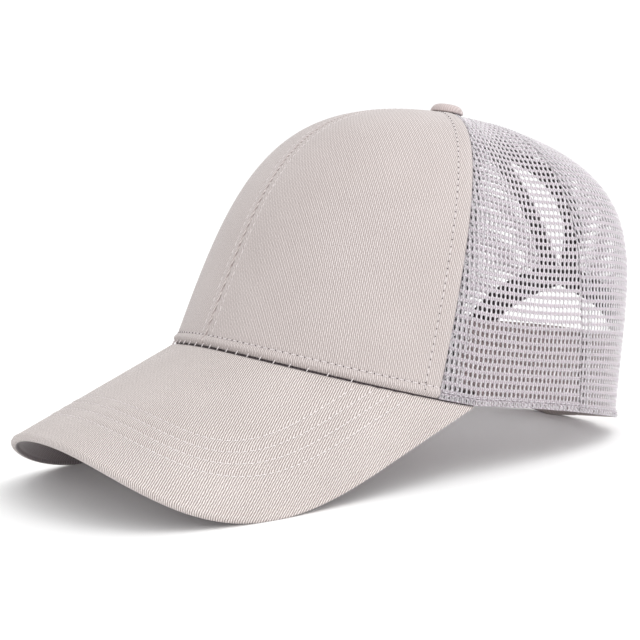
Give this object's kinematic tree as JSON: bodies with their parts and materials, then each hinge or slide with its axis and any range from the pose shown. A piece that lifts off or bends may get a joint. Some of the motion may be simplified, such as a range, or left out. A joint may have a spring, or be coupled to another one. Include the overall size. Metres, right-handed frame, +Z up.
{
  "type": "ponytail baseball cap",
  "caption": "Ponytail baseball cap with twill front panels, mesh sides and back, a curved peak, a taped leaf-shaped slot above an arch, and a back strap, resting on its peak and strap",
  "frame": {"origin": "bottom centre of the bounding box, on the floor the cap rests on, midway between its sides", "axes": "+Z up, -Y the way the peak points, +X the wearer's left"},
  "size_m": [0.158, 0.2794, 0.1525],
  "materials": {
    "twill": "matte cotton twill",
    "mesh": "knitted polyester net",
    "band": "matte brushed cotton",
    "tape": "matte woven tape"
  },
  "bodies": {
    "root": {"front_panel_left": "twill", "front_panel_right": "twill", "side_mesh_left": "mesh", "side_mesh_right": "mesh", "back_mesh_left": "mesh", "back_mesh_right": "mesh", "opening_tape_left": "tape", "opening_tape_right": "tape", "back_strap_left": "twill", "back_strap_right": "twill", "sweatband": "band", "peak": "twill", "top_button": "twill"}
  },
  "joints": []
}
